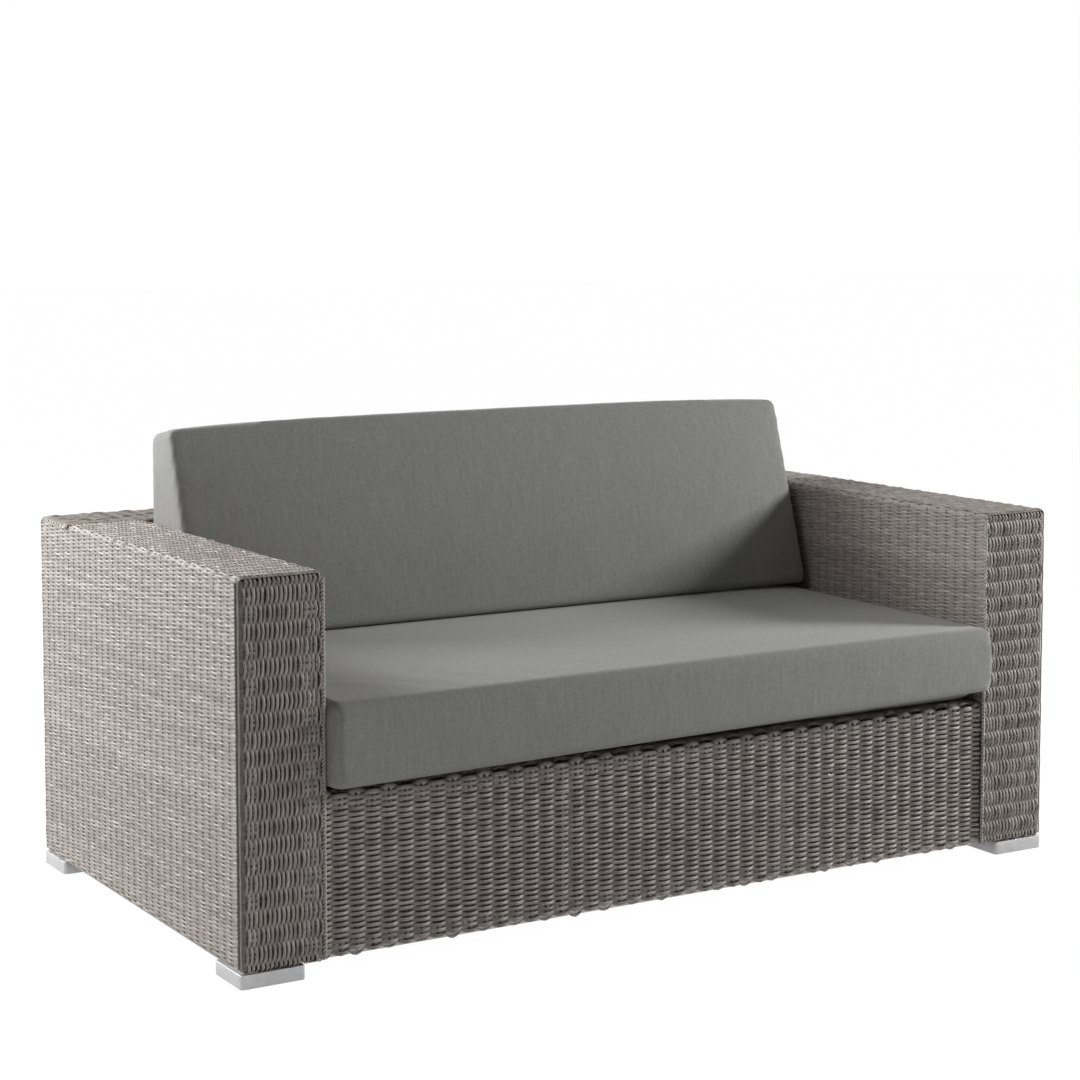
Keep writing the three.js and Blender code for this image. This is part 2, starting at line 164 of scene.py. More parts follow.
within_depth = math_of(tree, links, "COMPARE", spot.outputs["Y"], under_middle_y, under_half_depth)
under = math_of(tree, links, "MULTIPLY", within_width, within_depth)
open_floor = math_of(tree, links, "SUBTRACT", 1.0, under)
shown = math_of(tree, links, "MULTIPLY", share, open_floor)
out = tree.new("ShaderNodeOutputMaterial")
links.new(either_of(tree, links, shown, matt, glow), out.inputs["Surface"])
floor.data.materials.append(floor_finish)

# The frame is of square aluminium tube, welded, with its mill finish left as it is.
# It is hidden by the weave, and shows only from below and through the cane.
mill_dull = (0.30, 0.30, 0.29)
mill_bright = (0.44, 0.43, 0.42)


def new_finish(name):
    finish = bpy.data.materials.new(name)
    finish.use_nodes = True
    return finish, finish.node_tree.nodes, finish.node_tree.links


def noise_at(tree, links, source, scale, detail=2.0, rough=0.5):
    noise = tree.new("ShaderNodeTexNoise")
    noise.inputs["Scale"].default_value = scale
    noise.inputs["Detail"].default_value = detail
    noise.inputs["Roughness"].default_value = rough
    links.new(source, noise.inputs["Vector"])
    return noise.outputs["Fac"]


def stretched(tree, links, source, scale):
    mapping = tree.new("ShaderNodeMapping")
    mapping.inputs["Scale"].default_value = scale
    links.new(source, mapping.inputs["Vector"])
    return mapping.outputs["Vector"]


def ramp_of(tree, links, source, stops):
    ramp = tree.new("ShaderNodeValToRGB")
    elements = ramp.color_ramp.elements
    while len(elements) < len(stops):
        elements.new(0.5)
    for element, (place, colour) in zip(elements, stops):
        element.position = place
        element.color = (*colour, 1)
    links.new(source, ramp.inputs["Fac"])
    return ramp.outputs["Color"]


def bumped(tree, links, source, strength, distance):
    bump = tree.new("ShaderNodeBump")
    bump.inputs["Strength"].default_value = strength
    bump.inputs["Distance"].default_value = distance
    links.new(source, bump.inputs["Height"])
    return bump.outputs["Normal"]


def mill_metal():
    finish, tree, links = new_finish("mill_aluminium")
    shader = tree["Principled BSDF"]
    place = tree.new("ShaderNodeTexCoord").outputs["Object"]
    cloud = noise_at(tree, links, place, scale=40, detail=4.0)
    tone = ramp_of(tree, links, cloud, [(0.3, mill_dull), (0.7, mill_bright)])
    links.new(tone, shader.inputs["Base Color"])
    grain = noise_at(tree, links, place, scale=400)
    links.new(bumped(tree, links, grain, strength=0.15, distance=0.0005), shader.inputs["Normal"])
    shader.inputs["Metallic"].default_value = 0.9
    shader.inputs["Roughness"].default_value = 0.48
    return finish


tube_finish = mill_metal()
for row in frame["record"]["subparts"]:
    if row["material_slot"] == "frame_tube":
        nodes[row["node"]].data.materials.clear()
        nodes[row["node"]].data.materials.append(tube_finish)

# Every panel of the body is plain weave: fine cane, pressed a little flat, passes over and under round
# stakes. Each strand goes under the stakes that its neighbours go over.
stake_gap = 0.0277
side_strand_gap = 0.0034
strand_fill = 1.36
strand_flatness = 0.60
strand_sides = 4
weave_relief = 0.0011
stake_radius = 0.0015
stake_sides = 6
loop_steps = 4
steps_a_stake = 4
sway_power = 0.8
over_width = 0.84
under_width = 1.5
under_power = 0.5
stake_bends = (0.004, 0.008, 0.012, 0.016, 0.020, 0.024)
uneven_seed = 7
uneven_relief = 0.35
uneven_width = 0.20
uneven_place = 0.00035
strand_habit = 4
# Depth in the weave is kept as a mark, which the finish turns into painted shade: stakes, strand flanks next
# to the stakes and deep strands are darkened.
weave_depth = 0.0030
stake_painted_shade = 1.0
flank_painted_shade = 0.35
flank_mark = 0.3
deepest_painted_shade = 0.95
same_point = 0.00001
top_roll = 0.011
bottom_roll = 0.007
cane_crease = math.radians(75)
cane_light = (0.49, 0.448, 0.411)
cane_warm = (0.298, 0.264, 0.238)
cane_dark = (0.157, 0.138, 0.123)
strand_step = 7.3
strand_share = 0.2
patch_share = 0.86
patch_scale = (1.1, 1, 1)
fibre_scale = (6, 9, 4)
# The finish paints shade from the depth mark, darkening along these stops between the start and end depths.
painted_shade_start = -0.5
painted_shade_end = 2.5
painted_shade_stops = [(0, (1, 1, 1)), (0.47, (0.5, 0.5, 0.5)), (0.8, (0.05, 0.05, 0.05))]


def settle():
    bpy.ops.object.transform_apply(location=True, rotation=True, scale=True)


def only(piece):
    bpy.ops.object.select_all(action="DESELECT")
    piece.select_set(True)
    bpy.context.view_layer.objects.active = piece


def places_of(piece):
    places = np.empty(len(piece.data.vertices) * 3)
    piece.data.vertices.foreach_get("co", places)
    return places.reshape(-1, 3)


def place_all(piece, places):
    piece.data.vertices.foreach_set("co", places.ravel())
    piece.data.update()


def note(piece, along, strand, depth):
    """Keeps for the finish where each point lies in the weave: stakes along, strand number and depth."""
    kept = piece.data.attributes.new("flat", "FLOAT_VECTOR", "POINT")
    kept.data.foreach_set("vector", np.column_stack([along, strand, depth]).astype(np.float32).ravel())


def repeated(piece, count, offset, weld=False):
    copies = piece.modifiers.new("copies", "ARRAY")
    copies.count = count
    copies.use_relative_offset = False
    copies.use_constant_offset = True
    copies.constant_offset_displace = offset
    copies.use_merge_vertices = weld
    copies.merge_threshold = same_point
    bpy.ops.object.modifier_apply(modifier="copies")


def joined(pieces, name):
    bpy.ops.object.select_all(action="DESELECT")
    for piece in pieces:
        piece.select_set(True)
    bpy.context.view_layer.objects.active = pieces[0]
    bpy.ops.object.join()
    whole = bpy.context.object
    whole.name = name
    whole.data.name = name
    return whole


def sway_at(stakes_along):
    """How far a strand stands out there, -1 to 1. It lies long over a stake, and crosses quickly."""
    wave = math.cos(math.pi * stakes_along)
    return math.copysign(abs(wave) ** sway_power, wave)


def strand_section(place, pitch):
    bpy.ops.mesh.primitive_circle_add(
        vertices=strand_sides, radius=pitch * strand_fill / 2, fill_type="NOTHING",
        location=place, rotation=(0, math.pi / 2, 0))
    section = bpy.context.object
    section.scale = (1, strand_flatness, 1)
    settle()
    return section


def closed_up():
    bpy.ops.object.mode_set(mode="EDIT")
    bpy.ops.mesh.select_all(action="SELECT")
    bpy.ops.mesh.fill_holes(sides=strand_sides)
    bpy.ops.mesh.normals_make_consistent(inside=False)
    bpy.ops.object.mode_set(mode="OBJECT")


def strand_row(side, pitch, gap, relief_here, stakes, strands, lots):
    """Every second strand of a panel. side -1 starts on the outside, and 1 on the inside."""
    row = strand_section((0, side * relief_here, pitch * (1 + side / 2)), pitch)
    bpy.ops.object.mode_set(mode="EDIT")
    for step in range(2 * steps_a_stake):
        sway = sway_at((step + 1) / steps_a_stake) - sway_at(step / steps_a_stake)
        bpy.ops.mesh.extrude_region_move(TRANSFORM_OT_translate={
            "value": (gap / steps_a_stake, side * relief_here * sway, 0)})
    bpy.ops.object.mode_set(mode="OBJECT")
    repeated(row, stakes // 2, (2 * gap, 0, 0), weld=True)
    closed_up()
    points = len(row.data.vertices)
    repeated(row, strands // 2, (0, 0, 2 * pitch))
    places = places_of(row)
    number = 2 * (np.arange(len(places)) // points) + (side > 0)
    middle = (number + 0.5) * pitch
    across = (places[:, 2] - middle) / (pitch * strand_fill / 2)
    here = np.clip(places[:, 0] / gap, 0, stakes)
    cell = here.astype(int)
    part = here - cell
    relief, width, shift = lots[:, number, cell] * (1 - part) + lots[:, number, cell + 1] * part
    outward = -side * np.cos(math.pi * here)
    over = 1 + (over_width - 1) * outward
    under = 1 + (under_width - 1) * np.abs(outward) ** under_power
    full = np.where(outward > 0, over, under)
    width = np.where(outward > 0, width, np.abs(width))
    # Painted shade: the depth mark grows with depth, and on the strands' flanks next to the stakes.
    depth = places[:, 1] / weave_depth + flank_painted_shade * np.abs(across * outward)
    note(row, places[:, 0] / gap, number + 0.5 + flank_mark * across, np.minimum(depth, deepest_painted_shade))
    reach = across * pitch * strand_fill / 2 * full * (1 + uneven_width * width)
    places[:, 2] = middle + reach + uneven_place * shift
    places[:, 1] *= 1 + uneven_relief * relief
    place_all(row, places)
    return row


def end_loops(end, way, pitch, gap, relief_here, strands, lots):
    """One open end of a panel: each pair of strands is one cane that turns back round the last stake."""
    loop = strand_section((end, 0, pitch / 2), pitch)
    bpy.ops.object.mode_set(mode="EDIT")
    bpy.ops.mesh.select_all(action="SELECT")
    bpy.ops.mesh.spin(steps=loop_steps, angle=-way * math.pi, center=(end, 0, pitch), axis=(0, 1, 0))
    bpy.ops.object.mode_set(mode="OBJECT")
    closed_up()
    points = len(loop.data.vertices)
    repeated(loop, strands // 2, (0, 0, 2 * pitch))
    places = places_of(loop)
    pair = np.arange(len(places)) // points
    height = places[:, 2] / pitch - 2 * pair
    turned = np.clip(height - 0.5, 0, 1)
    cell = round(end / gap)
    relief, width, shift = lots[:, 2 * pair, cell] * (1 - turned) + lots[:, 2 * pair + 1, cell] * turned
    places[:, 1] += relief_here * (2 * turned - 1) * (1 + uneven_relief * relief)
    places[:, 2] += uneven_place * shift
    # The loops' depth mark gives them painted shade where they turn inward.
    note(loop, places[:, 0] / gap, 2 * pair + 0.5 + (height > 1), places[:, 1] / weave_depth)
    place_all(loop, places)
    return loop


def flat_weave(name, run, rise, gap=stake_gap, pitch=side_strand_gap, relief=weave_relief, looped=False):
    """A flat panel whose strands run along X from 0, and lie side by side along Z from 0.
    Its outside faces -Y, and its middle plane is at Y = 0."""
    stakes = 2 * round(run / gap / 2)
    strands = 2 * round(rise / pitch / 2)
    gap = run / stakes
    pitch = rise / strands
    draw = np.random.default_rng(uneven_seed)
    lots = draw.uniform(-1, 1, (3, strands + 2, stakes + 2))
    lots[1:] = (lots[1:] + lots[1:].mean(axis=2, keepdims=True) * strand_habit) / 2
    bpy.ops.object.select_all(action="DESELECT")
    bpy.ops.mesh.primitive_cylinder_add(
        vertices=stake_sides, radius=stake_radius, depth=rise, location=(0, 0, rise / 2))
    stake = bpy.context.object
    settle()
    bpy.ops.object.mode_set(mode="EDIT")
    for bend in stake_bends:
        for height in (bend, rise - bend):
            bpy.ops.mesh.select_all(action="SELECT")
            bpy.ops.mesh.bisect(plane_co=(0, 0, height), plane_no=(0, 0, 1))
    bpy.ops.object.mode_set(mode="OBJECT")
    repeated(stake, stakes + 1, (gap, 0, 0))
    places = places_of(stake)
    # Stakes get a deep mark, which the finish paints darker.
    note(stake, places[:, 0] / gap, places[:, 2] / pitch, np.full(len(places), stake_painted_shade))
    pieces = [stake]
    for side in (-1, 1):
        pieces.append(strand_row(side, pitch, gap, relief, stakes, strands, lots))
    if looped:
        pieces.append(end_loops(0, -1, pitch, gap, relief, strands, lots))
        pieces.append(end_loops(run, 1, pitch, gap, relief, strands, lots))
    return joined(pieces, name)


def rolled_length(length, start_roll=0.0, end_roll=0.0):
    """How much flat weave covers a face of that length when its ends roll over."""
    return length + sum(roll * math.pi / 2 - roll for roll in (start_roll, end_roll))


def roll_over(panel, length, start_roll=0.0, end_roll=0.0):
    """Bends a panel that lies along X round the rounded corners of a face of that length."""
    places = places_of(panel)
    places[:, 0] -= start_roll * (math.pi / 2 - 1)
    for roll, at_end in ((start_roll, False), (end_roll, True)):
        if not roll:
            continue
        inward = length - places[:, 0] if at_end else places[:, 0]
        bent = inward < roll
        angle = np.minimum((roll - inward[bent]) / roll, math.pi / 2)
        straight = roll - inward[bent] - roll * angle
        reach = roll - places[bent, 1]
        inward[bent] = roll - reach * np.sin(angle)
        places[bent, 1] = roll - reach * np.cos(angle) + straight
        places[:, 0] = length - inward if at_end else inward
    place_all(panel, places)


def stand(panel, rows, place):
    """Puts a panel where it belongs: rows gives the world directions of its X, Y and Z."""
    turn = Matrix([rows[0], rows[1], rows[2]]).transposed().to_4x4()
    panel.matrix_world = Matrix.Translation(place) @ turn
    only(panel)
    settle()


along_x, along_y, along_z = Vector((1, 0, 0)), Vector((0, 1, 0)), Vector((0, 0, 1))


def stack_first(panel):
    """Turns a panel so that it bends across its strands: its Z direction comes to lie along X."""
    stand(panel, (-along_z, along_y, along_x), (0, 0, 0))


def run_first(panel):
    """Turns it back, so that its strands run along X again."""
    stand(panel, (along_z, along_y, -along_x), (0, 0, 0))


def cane(name, light, dark, warm):
    """Greyed cane. Strands differ in tone and have fine fibres along them; the gaps get painted shade."""
    finish, tree, links = new_finish(name)
    shader = tree["Principled BSDF"]
    kept = tree.new("ShaderNodeAttribute")
    kept.attribute_name = "flat"
    parts = tree.new("ShaderNodeSeparateXYZ")
    links.new(kept.outputs["Vector"], parts.inputs[0])
    strand = math_of(tree, links, "FLOOR", parts.outputs["Y"])
    lot = tree.new("ShaderNodeTexWhiteNoise")
    lot.noise_dimensions = "1D"
    links.new(strand, lot.inputs["W"])
    spot = tree.new("ShaderNodeCombineXYZ")
    links.new(parts.outputs["X"], spot.inputs["X"])
    links.new(math_of(tree, links, "MULTIPLY", strand, strand_step), spot.inputs["Y"])
    along = stretched(tree, links, spot.outputs[0], patch_scale)
    patches = noise_at(tree, links, along, scale=1.0, detail=3.0, rough=0.6)
    patched = math_of(tree, links, "MULTIPLY", patches, patch_share)
    mixed = math_of(tree, links, "MULTIPLY_ADD", lot.outputs["Value"], strand_share, patched)
    tone = ramp_of(tree, links, mixed, [(0.22, dark), (0.52, warm), (0.85, light)])
    # Painted shade: the depth mark each point keeps darkens its tone, the deepest points nearly to black.
    depth = tree.new("ShaderNodeMapRange")
    depth.inputs["From Min"].default_value = painted_shade_start
    depth.inputs["From Max"].default_value = painted_shade_end
    links.new(parts.outputs["Z"], depth.inputs["Value"])
    shaded = tree.new("ShaderNodeMix")
    shaded.data_type = "RGBA"
    shaded.blend_type = "MULTIPLY"
    shaded.inputs["Factor"].default_value = 1.0
    links.new(tone, shaded.inputs["A"])
    links.new(ramp_of(tree, links, depth.outputs[0], painted_shade_stops), shaded.inputs["B"])
    links.new(shaded.outputs["Result"], shader.inputs["Base Color"])
    lengthwise = stretched(tree, links, kept.outputs["Vector"], fibre_scale)
    fibres = noise_at(tree, links, lengthwise, scale=3.0, detail=2.0)
    links.new(bumped(tree, links, fibres, strength=0.35, distance=0.0004), shader.inputs["Normal"])
    shader.inputs["Roughness"].default_value = 0.52
    shader.inputs["Specular IOR Level"].default_value = 0.4
    return finish


cane_finish = cane("greyed_cane", cane_light, cane_dark, cane_warm)


def woven(panel, node, finish=cane_finish):
    panel.data.materials.clear()
    panel.data.materials.append(finish)
    only(panel)
    bpy.ops.object.shade_smooth_by_angle(angle=cane_crease)
    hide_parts(node)
    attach(panel, "body")


# Each outer side is one panel over the whole depth, from the seam under the arm's top down to the
# bottom edge, which it rolls under. At both ends its canes turn back in loops. A panel's middle plane
# lies a little inside the outline, so that the tops of the strands come out at the faces.
skin_depth = 0.0034
hem_rise = 0.001
body_low_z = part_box("left_side_weave")[0].z + hem_rise + skin_depth
seam_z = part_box("left_side_weave")[1].z
arm_top_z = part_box("left_arm_top_weave")[1].z
body_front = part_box("left_side_weave")[0].y
body_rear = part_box("left_side_weave")[1].y
half_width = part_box("right_side_weave")[1].x
inner_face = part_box("right_arm_inner_weave")[0].x
back_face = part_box("back_top_weave")[0].y
roll_in_plane = top_roll - skin_depth
side_stake_gap = 0.0264
loop_inset = 0.0128
side_length = body_rear - body_front - 2 * loop_inset
side_height = seam_z - body_low_z


def side_panel(name):
    rise = rolled_length(side_height, bottom_roll)
    panel = flat_weave(name, side_length, rise, gap=side_stake_gap, looped=True)
    stack_first(panel)
    roll_over(panel, side_height, start_roll=bottom_roll)
    run_first(panel)
    return panel


left = side_panel("left_side_cane")
stand(left, (-along_y, along_x, along_z), (-half_width + skin_depth, body_rear - loop_inset, body_low_z))
woven(left, "left_side_weave")
right = side_panel("right_side_cane")
stand(right, (along_y, -along_x, along_z), (half_width - skin_depth, body_front + loop_inset, body_low_z))
woven(right, "right_side_weave")

# At each upright corner of the body the frame's post is bound with cane, and one thin cane stands
# before it, between the loops of the side weave and the first strands of the front.
corner_cane_radius = 0.0012
corner_cane_sides = 8
corner_cane_reach = 0.0084
corner_cane_painted_shade = 0.1
corner_top_rise = 0.002
corner_top_z = seam_z + corner_top_rise
bound_pitch = 0.0037
bound_low_radius = 0.0062
bound_high_radius = 0.0074
bound_sides = 14
bound_painted_shade = 0.28
groove_painted_shade = 0.5
corner_bend = 0.0005
corner_steps = 48


def corner_cane(place, height):
    """A standing cane, a little crooked."""
    bpy.ops.object.select_all(action="DESELECT")
    bpy.ops.mesh.primitive_cylinder_add(
        vertices=corner_cane_sides, radius=corner_cane_radius, depth=height, location=(0, 0, height / 2))
    piece = bpy.context.object
    settle()
    bpy.ops.object.mode_set(mode="EDIT")
    for step in range(1, corner_steps):
        bpy.ops.mesh.select_all(action="SELECT")
        bpy.ops.mesh.bisect(plane_co=(0, 0, height * step / corner_steps), plane_no=(0, 0, 1))
    bpy.ops.object.mode_set(mode="OBJECT")
    places = places_of(piece)
    one_strand = np.full(len(places), 0.5)
    # A small depth mark gives the cane a little painted shade.
    note(piece, places[:, 2] / stake_gap, one_strand, np.full(len(places), corner_cane_painted_shade))
    sway = np.random.default_rng(uneven_seed).uniform(-corner_bend, corner_bend, (corner_steps + 1, 2))
    places[:, :2] += sway[np.round(places[:, 2] / height * corner_steps).astype(int)] + place
    place_all(piece, places)
    return piece


def bound_post(place, height):
    """A post bound with cane: one turn, repeated all the way up."""
    turns = round(height / bound_pitch)
    bpy.ops.object.select_all(action="DESELECT")
    bpy.ops.mesh.primitive_circle_add(vertices=bound_sides, radius=bound_low_radius, fill_type="NOTHING")
    piece = bpy.context.object
    bpy.ops.object.mode_set(mode="EDIT")
    for radius, last in ((bound_high_radius, bound_low_radius), (bound_low_radius, bound_high_radius)):
        bpy.ops.mesh.extrude_region_move(TRANSFORM_OT_translate={"value": (0, 0, height / turns / 2)})
        bpy.ops.transform.resize(value=(radius / last, radius / last, 1))
    bpy.ops.object.mode_set(mode="OBJECT")
    repeated(piece, turns, (0, 0, height / turns), weld=True)
    bpy.ops.object.mode_set(mode="EDIT")
    bpy.ops.mesh.select_all(action="SELECT")
    bpy.ops.mesh.fill_holes(sides=bound_sides)
    bpy.ops.mesh.normals_make_consistent(inside=False)
    bpy.ops.object.mode_set(mode="OBJECT")
    places = places_of(piece)
    grown = np.hypot(places[:, 0], places[:, 1]) > (bound_low_radius + bound_high_radius) / 2
    turned = np.arctan2(places[:, 1], places[:, 0])
    # Painted shade: the binding is marked deep, and deeper still in the grooves between its turns.
    note(piece, turned, places[:, 2] / height * turns, bound_painted_shade + groove_painted_shade * (1 - grown))
    places[:, :2] += place
    place_all(piece, places)
    return piece


for end, way, edge_y in (("front", -1, body_front), ("rear", 1, body_rear)):
    for side, sign in (("left", -1), ("right", 1)):
        height = corner_top_z - body_low_z
        centre = np.array([sign * (half_width - top_roll), edge_y - way * top_roll])
        outer = centre + np.array([sign, way]) * corner_cane_reach * math.sqrt(0.5)
        parts = [corner_cane(outer, height), bound_post(centre, height)]
        corner = joined(parts, f"{side}_{end}_corner_cane")
        corner.location.z = body_low_z
        only(corner)
        settle()
        woven(corner, f"{side}_side_weave")

# The arm fronts have upright strands over level stakes. They start beside the loops of the side
# weave, end at the rope that covers the arm's inner corner, and are tucked in under the arm's top.
front_gap = 0.0267
front_relief = 0.0048
front_depth = 0.0050
front_strand_gap = 0.0039
rope_radius = 0.0036
rope_inset = 0.003
loop_room = 0.0112
front_outer = half_width - loop_room
front_inner = inner_face - rope_inset + 2 * rope_radius
front_drop = 0.0072
front_height = arm_top_z - front_drop - body_low_z
tucked_roll = 0.003
tucked_painted_shade = 0.0035
tucked_fade = 0.002
deep_painted_shade = 1.8


def arm_front(name):
    run = rolled_length(front_height, bottom_roll, tucked_roll)
    panel = flat_weave(name, run, front_outer - front_inner,
                       gap=front_gap, pitch=front_strand_gap, relief=front_relief)
    roll_over(panel, front_height, bottom_roll, tucked_roll)
    return panel


def paint_shade_above(panel, height, fade):
    """Paints shade on the strands' ends under the edge above them, by deepening their depth mark."""
    depths = panel.data.attributes["flat"].data
    for vertex, value in zip(panel.data.vertices, depths):
        if vertex.co.z > height - fade:
            value.vector.z += deep_painted_shade * min((vertex.co.z - height + fade) / fade, 1)


for name, start in (("left", -front_inner), ("right", front_outer)):
    panel = arm_front(f"{name}_arm_front_cane")
    stand(panel, (along_z, along_y, -along_x), (start, body_front + front_depth, body_low_z))
    # Painted shade darkens the tops of the strands, tucked under the arm's top.
    paint_shade_above(panel, body_low_z + front_height - tucked_painted_shade, tucked_fade)
    woven(panel, f"{name}_arm_front_weave")

# A rope of two pale canes, twisted round each other, stands in the inner front corner of each arm
# and covers the ends of the strands there.
# Its finish is a paler copy of the cane, which partly paints on the light that its raised beads catch.
pale_light = (0.66, 0.62, 0.58)
pale_warm = (0.50, 0.46, 0.42)
pale_dark = (0.34, 0.31, 0.28)
pale_lit_finish = cane("pale_lit_cane", pale_light, pale_dark, pale_warm)
rope_strand = rope_radius / 2
rope_swell = 1.08
rope_lump = 0.0064
rope_sides = 6
rope_core_shade = 0.3
rope_shade_fall = 1.8
rings_a_lump = 4
rope_drop = 0.002
rope_top_z = seam_z - rope_drop
rope_length = rope_top_z - body_low_z
rope_lumps = round(rope_length / rope_lump)
rope_rings = rope_lumps * rings_a_lump
for name, sign in (("left", -1), ("right", 1)):
    bpy.ops.object.select_all(action="DESELECT")
    bpy.ops.mesh.primitive_cylinder_add(
        vertices=rope_sides, radius=rope_strand * rope_swell, depth=rope_length, location=(rope_strand, 0, 0))
    rope = bpy.context.object
    rope.name = f"{name}_arm_rope"
    settle()
    bpy.ops.object.mode_set(mode="EDIT")
    for ring in range(1, rope_rings):
        bpy.ops.mesh.select_all(action="SELECT")
        bpy.ops.mesh.bisect(plane_co=(0, 0, rope_length * (ring / rope_rings - 0.5)), plane_no=(0, 0, 1))
    bpy.ops.mesh.select_all(action="SELECT")
    bpy.ops.mesh.duplicate()
    bpy.ops.transform.rotate(value=math.pi, orient_axis="Z", center_override=(0, 0, 0))
    bpy.ops.object.mode_set(mode="OBJECT")
    places = places_of(rope)
    reach = np.hypot(places[:, 0], places[:, 1]) / rope_radius
    # Painted shade: the rope is darker towards its core, between its two canes.
    depth = rope_core_shade - rope_shade_fall * reach
    note(rope, places[:, 2] / stake_gap, np.sign(places[:, 0]) + 0.5, depth)
    lay = rope.modifiers.new("lay", "SIMPLE_DEFORM")
    lay.deform_method = "TWIST"
    lay.deform_axis = "Z"
    lay.angle = math.pi * rope_lumps
    bpy.ops.object.modifier_apply(modifier="lay")
    rope.location.x = sign * (inner_face - rope_inset + rope_radius)
    rope.location.y = body_front + rope_radius
    rope.location.z = (body_low_z + rope_top_z) / 2
    settle()
    woven(rope, f"{name}_arm_front_weave", pale_lit_finish)

# The inner sides of the arms are woven from that rope back to the woven back. They go down behind
# the ends of the seat cushion, as far as the deck.
rope_gap = 0.0005
inner_start = body_front + 2 * rope_radius + rope_gap
inner_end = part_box("left_arm_inner_weave")[1].y
inner_low_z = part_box("left_arm_inner_weave")[0].z
for name, sign in (("left", -1), ("right", 1)):
    panel = flat_weave(f"{name}_arm_inner_cane", inner_end - inner_start, seam_z - inner_low_z)
    if sign < 0:
        stand(panel, (along_y, -along_x, along_z), (-inner_face - skin_depth, inner_start, inner_low_z))
    else:
        stand(panel, (-along_y, along_x, along_z), (inner_face + skin_depth, inner_end, inner_low_z))
    woven(panel, f"{name}_arm_inner_weave")

# The arm tops are woven along the arm, over the stakes that come up from the side, so that the side
# and the top are one weave. They roll over the outer and inner edges, and tightly over the front.
arm_width = half_width - inner_face - 2 * skin_depth
top_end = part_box("left_arm_top_weave")[1].y
top_length = top_end - body_front - skin_depth
front_roll = 0.0016
side_gap = side_length / (2 * round(side_length / side_stake_gap / 2))
top_gaps = 2 * math.ceil((top_end - body_front) / side_gap / 2) + 2
first_stake = loop_inset - skin_depth
cut_sides = 8


def cut_run(panel, low, high):
    """Cuts a flat panel off at both ends, closes the cut canes, and puts the first cut at 0."""
    only(panel)
    bpy.ops.object.mode_set(mode="EDIT")
    for place, way in ((low, -1), (high, 1)):
        bpy.ops.mesh.select_all(action="SELECT")
        bpy.ops.mesh.bisect(plane_co=(place, 0, 0), plane_no=(way, 0, 0), clear_outer=True)
    bpy.ops.mesh.select_all(action="SELECT")
    bpy.ops.mesh.fill_holes(sides=cut_sides)
    bpy.ops.object.mode_set(mode="OBJECT")
    panel.location.x = -low
    settle()


def rounded_corners(panel, edge_y):
    """Draws both corners of a top panel at that edge in to the body's rounded corners."""
    way = 1 if edge_y > 0 else -1
    places = places_of(panel)
    for sign in (-1, 1):
        centre = np.array([sign * (half_width - top_roll), edge_y - way * top_roll])
        reach = (places[:, :2] - centre) * (sign, way)
        near = (reach > 0).all(axis=1)
        share = reach[near].max(axis=1) / np.hypot(*reach[near].T)
        places[near, :2] = centre + reach[near] * share[:, None] * (sign, way)
    place_all(panel, places)


for name, sign in (("left", -1), ("right", 1)):
    panel = flat_weave(f"{name}_arm_top_cane", top_gaps * side_gap,
                       rolled_length(arm_width, roll_in_plane, roll_in_plane), gap=side_gap)
    run = rolled_length(top_length, front_roll)
    spare = run - top_length + first_stake
    if sign > 0:
        cut_run(panel, 2 * side_gap - spare, 2 * side_gap - spare + run)
        roll_over(panel, top_length, start_roll=front_roll)
    else:
        cut_run(panel, (top_gaps - 2) * side_gap + spare - run, (top_gaps - 2) * side_gap + spare)
        roll_over(panel, top_length, end_roll=front_roll)
    stack_first(panel)
    roll_over(panel, arm_width, roll_in_plane, roll_in_plane)
    run_first(panel)
    if sign > 0:
        stand(panel, (along_y, -along_z, -along_x),
              (half_width - skin_depth, body_front + skin_depth, arm_top_z - skin_depth))
    else:
        stand(panel, (-along_y, -along_z, along_x),
              (-half_width + skin_depth, top_end, arm_top_z - skin_depth))
    rounded_corners(panel, body_front)
    woven(panel, f"{name}_arm_top_weave")

# The back's top is one panel across the whole sofa, woven like the arms' tops. It rolls over the
# edges on all four sides, and is drawn in round the two rear corners.
back_width = 2 * (half_width - skin_depth)
back_depth = body_rear - back_face - 2 * skin_depth
panel = flat_weave("back_top_cane", rolled_length(back_width, roll_in_plane, roll_in_plane),
                   rolled_length(back_depth, roll_in_plane, roll_in_plane))
roll_over(panel, back_width, roll_in_plane, roll_in_plane)
stack_first(panel)
roll_over(panel, back_depth, roll_in_plane, roll_in_plane)
run_first(panel)
stand(panel, (along_x, -along_z, along_y), (-back_width / 2, back_face + skin_depth, arm_top_z - skin_depth))
rounded_corners(panel, body_rear)
woven(panel, "back_top_weave")

# The back's rear face is woven between the two bound corner posts, in two lifts that meet at mid
# height. The lower one rolls under the bottom edge.
rear_width = 2 * front_outer
rear_lift = side_height / 2
for name, low, roll in (("lower", 0, bottom_roll), ("upper", rear_lift, 0)):
    panel = flat_weave(f"back_rear_{name}_cane", rear_width, rolled_length(rear_lift, roll))
    if roll:
        stack_first(panel)
        roll_over(panel, rear_lift, start_roll=roll)
        run_first(panel)
    stand(panel, (-along_x, -along_y, along_z),
          (rear_width / 2, body_rear - skin_depth, body_low_z + low))
    woven(panel, "back_rear_weave")

# The back's inner face is a plain panel between the arms, woven like their inner sides.
# The back cushion leans on it.
inner_clearance = 0.001
back_inner_width = 2 * (inner_face - inner_clearance)
panel = flat_weave("back_inner_cane", back_inner_width, seam_z - inner_low_z)
stand(panel, (along_x, along_y, along_z), (-back_inner_width / 2, back_face + skin_depth, inner_low_z))
woven(panel, "back_inner_weave")

